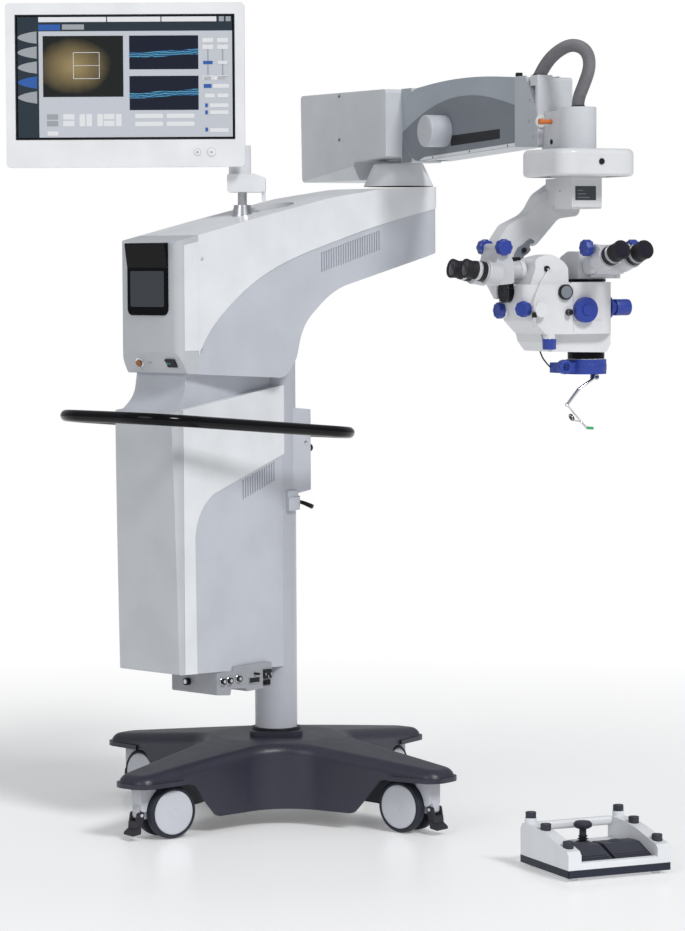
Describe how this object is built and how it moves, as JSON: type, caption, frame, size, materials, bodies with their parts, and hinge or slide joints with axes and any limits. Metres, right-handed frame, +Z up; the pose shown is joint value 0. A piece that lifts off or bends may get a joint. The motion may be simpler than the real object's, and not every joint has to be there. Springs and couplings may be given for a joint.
{
  "type": "surgical microscope on floor stand",
  "caption": "Floor-standing surgical microscope: caster base, cabinet and column, sprung swivel arm, stereo head with assistant tube, monitor and foot control.",
  "frame": {"origin": "on the floor, on the column's axis", "axes": "+Z up; -Y the way the touch screen faces; +X to the right of a user facing +Y"},
  "size_m": [1.7515, 1.2366, 1.979],
  "materials": {
    "base_cover": "fine texture",
    "cast_frame": "painted casting",
    "column_paint": "satin paint",
    "front_cover": "satin",
    "white_shell": "satin",
    "grey_shell": "satin",
    "connector_metal": "satin paint",
    "black_trim": "moulded",
    "handle_black": "gloss coat",
    "screen_glass_black": "gloss",
    "key_amber": "gloss",
    "steel": "brushed",
    "monitor_white": "satin",
    "box_grey": "satin",
    "arm_grey": "painted satin",
    "pin_orange": "gloss",
    "head_grey": "painted satin",
    "hose_grey": "ribbed",
    "steel_plate": "machined",
    "white_cast": "painted satin",
    "optic_grey": "satin",
    "knob_blue": "soft touch",
    "chrome": "polished",
    "pedal_rubber": "fine texture",
    "button_grey": "matt",
    "caster_grey": "satin",
    "caster_tyre": "matt",
    "pedal_dark": "moulded"
  },
  "bodies": {
    "stand": {"base_cover": "base_cover", "base_frame": "cast_frame", "column": "column_paint", "cabinet_cover": "front_cover", "cabinet_side_panels": "white_shell", "cabinet_shell": "grey_shell", "neck_panel": "grey_shell", "connector_panel": "connector_metal", "connector_sockets": "black_trim", "push_handle": "handle_black", "rear_housing": "grey_shell", "arm_nose": "front_cover", "arm_upper_shell": "white_shell", "arm_lower_shell": "grey_shell", "touch_screen": "screen_glass_black", "pivot_dome": "white_shell", "monitor_foot": "steel", "foot_base": "white_shell"},
    "caster_1": {"caster_fork_1": "caster_grey"},
    "wheels_1": {"caster_wheels_1": "caster_tyre"},
    "pedal_1": {"caster_pedal_1": "pedal_dark"},
    "caster_2": {"caster_fork_2": "caster_grey"},
    "wheels_2": {"caster_wheels_2": "caster_tyre"},
    "pedal_2": {"caster_pedal_2": "pedal_dark"},
    "caster_3": {"caster_fork_3": "caster_grey"},
    "wheels_3": {"caster_wheels_3": "caster_tyre"},
    "pedal_3": {"caster_pedal_3": "pedal_dark"},
    "caster_4": {"caster_fork_4": "caster_grey"},
    "wheels_4": {"caster_wheels_4": "caster_tyre"},
    "pedal_4": {"caster_pedal_4": "pedal_dark"},
    "power_switch": {"power_switch": "black_trim"},
    "lock_key": {"lock_key": "key_amber"},
    "monitor_post": {"monitor_post": "white_shell"},
    "monitor": {"monitor_housing": "monitor_white", "monitor_screen": "screen_glass_black"},
    "swivel_box": {"swivel_box": "box_grey"},
    "spring_arm": {"spring_arm_shell": "arm_grey", "balance_spring": "steel"},
    "arm_link": {"spring_arm_link": "steel"},
    "arm_head": {"arm_head": "head_grey", "arm_hose": "hose_grey"},
    "arm_knob": {"arm_knob": "grey_shell"},
    "lock_pin": {"lock_pin": "pin_orange"},
    "coupling": {"xy_coupling": "white_shell"},
    "coupling_plate": {"xy_plate": "steel_plate"},
    "stage": {"status_display": "white_shell", "suspension_arm": "white_cast"},
    "microscope": {"microscope_body": "white_shell", "tube_base": "optic_grey", "handgrip": "knob_blue"},
    "main_tube": {"main_tube": "optic_grey"},
    "assistant_tube": {"assistant_tube": "optic_grey"},
    "zoom_knob": {"zoom_knob": "knob_blue"},
    "viewer_ring": {"viewer_ring": "knob_blue"},
    "viewer_arm": {"viewer_arm": "chrome"},
    "pedal_left": {"foot_pedal_left": "pedal_rubber"},
    "pedal_right": {"foot_pedal_right": "pedal_rubber"},
    "gimbal": {"joystick_gimbal": "steel"},
    "joystick": {"foot_joystick": "black_trim"},
    "toe_buttons": {"foot_buttons": "button_grey"}
  },
  "joints": [
    {"name": "caster_1_swivel", "type": "hinge", "parent": "stand", "child": "caster_1", "pos_m": [0.44861, 0.03531, 0.14], "axis": [0, 0, 1], "continuous": true},
    {"name": "caster_1_roll", "type": "hinge", "parent": "caster_1", "child": "wheels_1", "pos_m": [0.41372, 0.03256, 0.0625], "axis": [0.0785, -0.9969, 0], "continuous": true},
    {"name": "caster_1_brake", "type": "hinge", "parent": "caster_1", "child": "pedal_1", "pos_m": [0.48849, 0.03845, 0.06], "axis": [0.0785, -0.9969, 0], "range_deg": [-10, 0]},
    {"name": "caster_2_swivel", "type": "hinge", "parent": "stand", "child": "caster_2", "pos_m": [-0.03531, 0.44861, 0.14], "axis": [0, 0, 1], "continuous": true},
    {"name": "caster_2_roll", "type": "hinge", "parent": "caster_2", "child": "wheels_2", "pos_m": [-0.02537, 0.41505, 0.0625], "axis": [0.9588, 0.284, 0], "continuous": true},
    {"name": "caster_2_brake", "type": "hinge", "parent": "caster_2", "child": "pedal_2", "pos_m": [-0.04667, 0.48697, 0.06], "axis": [0.9588, 0.284, 0], "range_deg": [-10, 0]},
    {"name": "caster_3_swivel", "type": "hinge", "parent": "stand", "child": "caster_3", "pos_m": [-0.44861, -0.03531, 0.14], "axis": [0, 0, 1], "continuous": true},
    {"name": "caster_3_roll", "type": "hinge", "parent": "caster_3", "child": "wheels_3", "pos_m": [-0.41368, -0.03744, 0.0625], "axis": [0.061, 0.9981, 0], "continuous": true},
    {"name": "caster_3_brake", "type": "hinge", "parent": "caster_3", "child": "pedal_3", "pos_m": [-0.48854, -0.03286, 0.06], "axis": [0.061, 0.9981, 0], "range_deg": [-10, 0]},
    {"name": "caster_4_swivel", "type": "hinge", "parent": "stand", "child": "caster_4", "pos_m": [0.03531, -0.44861, 0.14], "axis": [0, 0, 1], "continuous": true},
    {"name": "caster_4_roll", "type": "hinge", "parent": "caster_4", "child": "wheels_4", "pos_m": [0.04228, -0.41431, 0.0625], "axis": [-0.9799, 0.1994, 0], "continuous": true},
    {"name": "caster_4_brake", "type": "hinge", "parent": "caster_4", "child": "pedal_4", "pos_m": [0.02733, -0.48781, 0.06], "axis": [-0.9799, 0.1994, 0], "range_deg": [-10, 0]},
    {"name": "power_rocker", "type": "hinge", "parent": "stand", "child": "power_switch", "pos_m": [0.064, -0.4015, 1.1225], "axis": [1, 0, 0], "range_deg": [-5, 0]},
    {"name": "key_turn", "type": "hinge", "parent": "stand", "child": "lock_key", "pos_m": [-0.046, -0.4015, 1.1225], "axis": [0, -0.8838, -0.4679], "range_deg": [0, 90]},
    {"name": "monitor_swivel", "type": "hinge", "parent": "stand", "child": "monitor_post", "pos_m": [0, -0.104, 1.54], "axis": [0, 0, 1], "range_deg": [-60, 90]},
    {"name": "monitor_tilt", "type": "hinge", "parent": "monitor_post", "child": "monitor", "pos_m": [-0.19926, -0.29642, 1.783], "axis": [0.7193, 0.6947, 0], "range_deg": [-20, 5]},
    {"name": "arm_swivel", "type": "hinge", "parent": "stand", "child": "swivel_box", "pos_m": [0, 0.45, 1.65], "axis": [0, 0, 1], "range_deg": [-35, 120]},
    {"name": "arm_pitch", "type": "hinge", "parent": "swivel_box", "child": "spring_arm", "pos_m": [0.18154, 0.38749, 1.697], "axis": [0.3256, 0.9455, 0], "range_deg": [-20, 20]},
    {"name": "link_pitch", "type": "hinge", "parent": "swivel_box", "child": "arm_link", "pos_m": [0.18154, 0.38749, 1.647], "axis": [0.3256, 0.9455, 0], "range_deg": [-20.5, 20.5]},
    {"name": "head_level", "type": "hinge", "parent": "spring_arm", "child": "arm_head", "pos_m": [0.64768, 0.22699, 1.706], "axis": [0.3256, 0.9455, 0], "range_deg": [-20.5, 20.5]},
    {"name": "balance_knob_turn", "type": "hinge", "parent": "spring_arm", "child": "arm_knob", "pos_m": [0.28303, 0.28909, 1.675], "axis": [0.3256, 0.9455, 0], "continuous": true},
    {"name": "lock_pin_slide", "type": "slide", "parent": "arm_head", "child": "lock_pin", "axis": [0.3256, 0.9455, 0], "range_m": [-0.01, 0]},
    {"name": "post_swivel", "type": "hinge", "parent": "arm_head", "child": "coupling", "pos_m": [0.83206, 0.1635, 1.65], "axis": [0, 0, 1], "range_deg": [-170, 170]},
    {"name": "coupling_x", "type": "slide", "parent": "coupling", "child": "coupling_plate", "axis": [0.9455, -0.3256, 0], "range_m": [-0.025, 0.025]},
    {"name": "coupling_y", "type": "slide", "parent": "coupling_plate", "child": "stage", "axis": [0.3256, 0.9455, 0], "range_m": [-0.025, 0.025]},
    {"name": "microscope_tilt", "type": "hinge", "parent": "stage", "child": "microscope", "pos_m": [0.69385, 0.0662, 1.33], "axis": [0.3256, 0.9455, 0], "range_deg": [-15, 30]},
    {"name": "main_tube_tilt", "type": "hinge", "parent": "microscope", "child": "main_tube", "pos_m": [0.90736, 0.16719, 1.346], "axis": [0.3256, 0.9455, 0], "range_deg": [-20, 30]},
    {"name": "assistant_tube_turn", "type": "hinge", "parent": "microscope", "child": "assistant_tube", "pos_m": [0.7702, -0.01615, 1.336], "axis": [0.3256, 0.9455, 0], "range_deg": [-35, 35]},
    {"name": "zoom_knob_turn", "type": "hinge", "parent": "microscope", "child": "zoom_knob", "pos_m": [0.89385, 0.11261, 1.245], "axis": [0.9455, -0.3256, 0], "continuous": true},
    {"name": "viewer_turn", "type": "hinge", "parent": "microscope", "child": "viewer_ring", "pos_m": [0.83733, 0.18495, 1.12], "axis": [0, 0, 1], "range_deg": [-170, 170]},
    {"name": "viewer_fold", "type": "hinge", "parent": "viewer_ring", "child": "viewer_arm", "pos_m": [0.85956, 0.19422, 1.089], "axis": [0.9455, -0.3256, 0], "range_deg": [-12, 45]},
    {"name": "pedal_left_rock", "type": "hinge", "parent": "stand", "child": "pedal_left", "pos_m": [1.06327, -0.10536, 0.036], "axis": [0.3746, 0.9272, 0], "range_deg": [-4, 4], "stiffness_Nm_per_rad": 6},
    {"name": "pedal_right_rock", "type": "hinge", "parent": "stand", "child": "pedal_right", "pos_m": [1.09885, -0.01728, 0.036], "axis": [0.3746, 0.9272, 0], "range_deg": [-4, 4], "stiffness_Nm_per_rad": 6},
    {"name": "joystick_fore", "type": "hinge", "parent": "stand", "child": "gimbal", "pos_m": [1.00689, -0.03135, 0.045], "axis": [0.3746, 0.9272, 0], "range_deg": [-12, 12], "stiffness_Nm_per_rad": 0.6},
    {"name": "joystick_side", "type": "hinge", "parent": "gimbal", "child": "joystick", "pos_m": [1.00689, -0.03135, 0.045], "axis": [-0.9272, 0.3746, 0], "range_deg": [-12, 12], "stiffness_Nm_per_rad": 0.6},
    {"name": "toe_button_press", "type": "slide", "parent": "stand", "child": "toe_buttons", "axis": [0, 0, 1], "range_m": [-0.003, 0], "stiffness_N_per_m": 500, "springref_m": 0.003}
  ],
  "couplings": [
    {"joint": "head_level", "follows": "arm_pitch", "ratio": -1},
    {"joint": "link_pitch", "follows": "arm_pitch", "ratio": 1}
  ]
}
